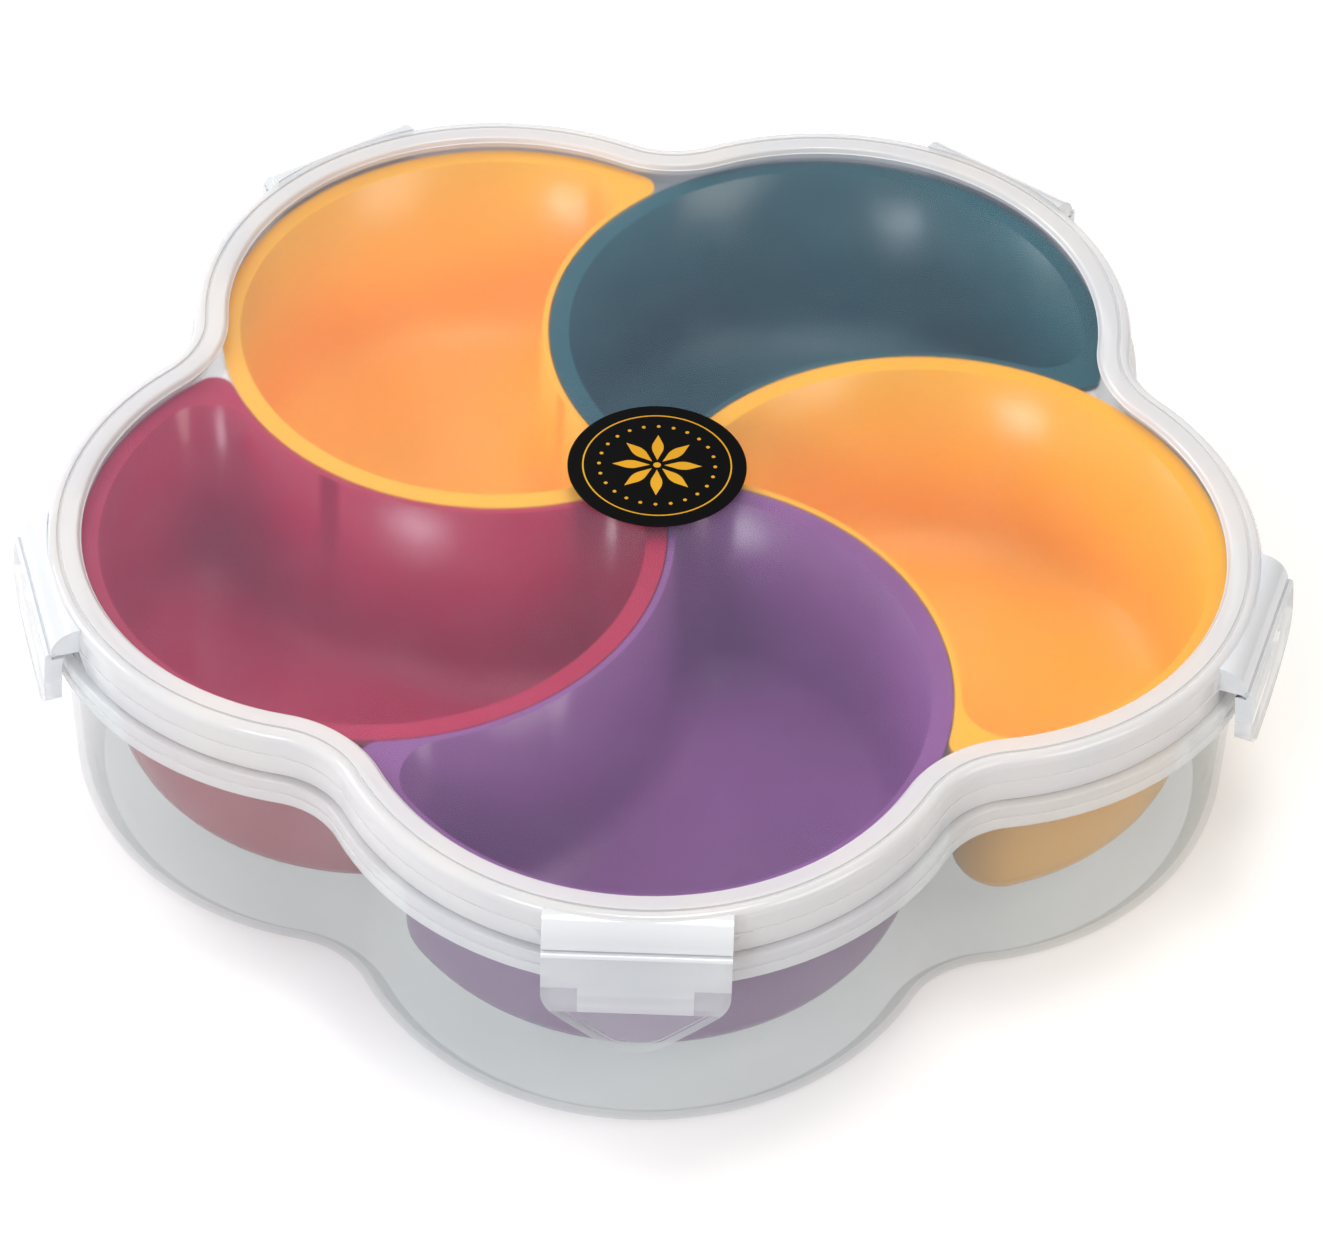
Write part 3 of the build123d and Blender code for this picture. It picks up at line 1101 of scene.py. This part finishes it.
# The lid, clear in its panel, milky round it and whitest at the latch roots
latch_milk = ("DFE3E9", "E6E9ED")
latch_plastics = {
    "waxy": milky_polypropylene("waxy", 0.58, *latch_milk),
    "sheer": milky_polypropylene("sheer", 0.33, *latch_milk),
    "thin": milky_polypropylene("thin", 0.1, *latch_milk),
    "folded": milky_polypropylene("folded", 0.92, "DCE0E6", "E3E6EA"),
}
lid = make_lid()
finish_piece(lid, "clear_lid", "lid", "lid", clear_polypropylene())
lid.data.materials.append(milky_polypropylene("milky", 0.64, "ECEEF3", "F5F3F3"))
lid.data.materials.append(latch_plastics["folded"])
for face in lid.data.polygons:
    place = face.center / MM
    beside_panel = flower_reach(place) > panel_radius - 2 * margin
    if beside_panel or face.center.z < (panel_underside - margin) * MM:
        face.material_index = 2 if in_latch_root(place) else 1
finish_piece(make_seal(), "silicone_seal", "seal_ring", "lid", silicone_rubber())
finish_piece(make_label(), "round_label", "label_disc", "lid", printed_film())
star = make_ornament()
star.name = star.data.name = "gold_star"
star.data.materials.clear()
star.data.materials.append(gold_ink())
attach(star, "lid")

# Trays, latches and creases: one of each is made at angle 0 and copied to the five lobes
tray_dyes = {
    "purple": ("804C84", "8C5490"),
    "yellow": ("F8B014", "FCB81E"),
    "green": ("044C54", "085860"),
    "red": ("A61036", "B2183E"),
}
tray_colours = {
    "front": "purple",
    "right": "yellow",
    "back_right": "green",
    "back_left": "yellow",
    "left": "red",
}
tray_plastics = {name: glossy_polystyrene(name, *dyes) for name, dyes in tray_dyes.items()}
tray = make_tray()
flap = make_flap()
for plastic in latch_plastics.values():
    flap.data.materials.append(plastic)
plastic_names = list(latch_plastics)
for face in flap.data.polygons:
    face.material_index = plastic_names.index(flap_plastic(face.center / MM, face.normal))
film = make_film()
for number, name in enumerate(lobe_names):
    angle = front_angle + number * pitch
    colour_name = tray_colours[name]
    finish_piece(
        turned_copy(tray, f"tray_{name}", angle),
        f"glossy_tray_{name}",
        f"tray_{name}",
        f"tray_{name}",
        tray_plastics[colour_name],
    )
    finish_piece(
        turned_copy(flap, f"flap_{name}", angle),
        f"latch_flap_{name}",
        f"latch_{name}",
        f"latch_{name}",
        None,
    )
    crease = turned_copy(film, f"film_{name}", angle)
    crease.name = crease.data.name = f"crease_film_{name}"
    crease.data.materials.append(latch_plastics["folded"])
    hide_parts(f"hinge_film_{name}")
    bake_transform(crease)
for pattern in (tray, flap, film):
    bpy.data.objects.remove(pattern)

# Studio: a pale floor, soft light from both sides and a white background. Lengths are in metres
floor_size = 6
floor_glow = 0.25
glow_near = 0.5
glow_far = 1.5
bpy.ops.mesh.primitive_plane_add(size=floor_size)
floor = bpy.context.object
floor.name = floor.data.name = "floor"
floor.data.materials.append(matt_paint())

# The world is white to the eye, but lights the box more from the left than from the right. The
# light falls from one strength to the other between two values of its direction's X
left_light = 0.84
right_light = 0.26
left_limit = -0.25
right_limit = 0.12
world = bpy.data.worlds.new("studio")
world.use_nodes = True
bpy.context.scene.world = world
background = world.node_tree.nodes["Background"]
background.inputs["Color"].default_value = (1, 1, 1, 1)
direction = add(world, "TexCoord").outputs["Generated"]
parts = add(world, "SeparateXYZ", [("Vector", direction)])
side_light = add(
    world,
    "MapRange",
    [("Value", parts.outputs["X"])],
    From_Min=left_limit,
    From_Max=right_limit,
    To_Min=left_light,
    To_Max=right_light,
)
seen = add(world, "LightPath").outputs["Is Camera Ray"]
links = [(0, side_light.outputs["Result"]), (1, seen)]
strength = add(world, "Math", links, operation="MAXIMUM")
world.node_tree.links.new(strength.outputs[0], background.inputs["Strength"])


def softbox(place, size, power, tint):
    """A square soft lamp that faces the middle of the box."""
    target = Vector((0, 0, 0.04))
    bpy.ops.object.light_add(type="AREA", location=place)
    lamp = bpy.context.object
    lamp.data.color = linear(tint)[:3]
    lamp.data.size = size
    lamp.data.energy = power
    lamp.rotation_euler = (target - Vector(place)).to_track_quat("-Z", "Y").to_euler()


softbox((-0.8, 0.4, 0.85), size=0.45, power=4.2, tint="FFFFFF")
softbox((-0.5, -0.8, 0.7), size=0.3, power=2.8, tint="F4F8FF")
softbox((0.7, -0.4, 0.9), size=0.5, power=3.8, tint="FFF4E8")
softbox((0.1, 0.1, 1.4), size=0.4, power=5.2, tint="FFFAF4")

# Camera, as far off and as high as the photograph's
photo_width = 1323
focal_pixels = 3949
camera_yaw = radians(0.45)
camera_drop = radians(44.24)
camera_roll = radians(1.6)
camera_distance = 892.4 * MM
aim = Vector((2.44, -48.0, 66.0)) * MM
ahead = Vector((
    -sin(camera_yaw) * cos(camera_drop),
    cos(camera_yaw) * cos(camera_drop),
    -sin(camera_drop),
))
bpy.ops.object.camera_add()
camera = bpy.context.object
camera.matrix_world = (
    Matrix.Translation(aim - ahead * camera_distance)
    @ Matrix.Rotation(camera_yaw, 4, "Z")
    @ Matrix.Rotation(pi / 2 - camera_drop, 4, "X")
    @ Matrix.Rotation(camera_roll, 4, "Z")
)
camera.data.sensor_width = 36
camera.data.lens = focal_pixels / photo_width * camera.data.sensor_width
camera.data.clip_start = 0.01
bpy.context.scene.camera = camera
bpy.context.scene.view_settings.view_transform = "Standard"
